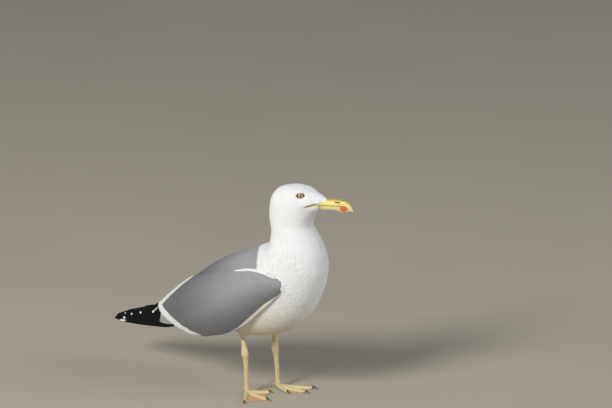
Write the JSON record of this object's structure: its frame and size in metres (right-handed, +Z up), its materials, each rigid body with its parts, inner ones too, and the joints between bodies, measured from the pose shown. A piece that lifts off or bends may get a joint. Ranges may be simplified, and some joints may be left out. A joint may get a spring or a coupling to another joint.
{
  "type": "adult yellow-legged gull, standing display model",
  "caption": "Life-size still model of an adult yellow-legged gull standing on both webbed feet with wings folded and head turned slightly to its left.",
  "frame": {"origin": "on the floor, under the middle of the whole bird's box", "axes": "+X the way the body faces, from tail to bill, +Y to the bird's left, +Z up"},
  "size_m": [0.488, 0.1418, 0.3644],
  "materials": {
    "white_plumage": "soft matt white contour feathers",
    "grey_plumage": "smooth matt mid-grey feathers with white tips",
    "black_plumage": "black flight feathers with white tip spots",
    "bill_horn": "satin yellow horn with an orange-red spot",
    "eye": "wet gloss, pale straw iris and black pupil",
    "leg_skin": "scaled yellow skin with pinkish tan webs"
  },
  "bodies": {
    "root": {"head": "white_plumage", "neck": "white_plumage", "trunk": "white_plumage", "tail": "white_plumage", "thigh_right": "white_plumage", "thigh_left": "white_plumage", "wing_right": "grey_plumage", "wing_left": "grey_plumage", "primaries_right": "black_plumage", "primaries_left": "black_plumage", "bill_upper": "bill_horn", "bill_lower": "bill_horn", "eye_right": "eye", "eye_left": "eye", "leg_right": "leg_skin", "leg_left": "leg_skin", "foot_right": "leg_skin", "foot_left": "leg_skin"}
  },
  "joints": []
}
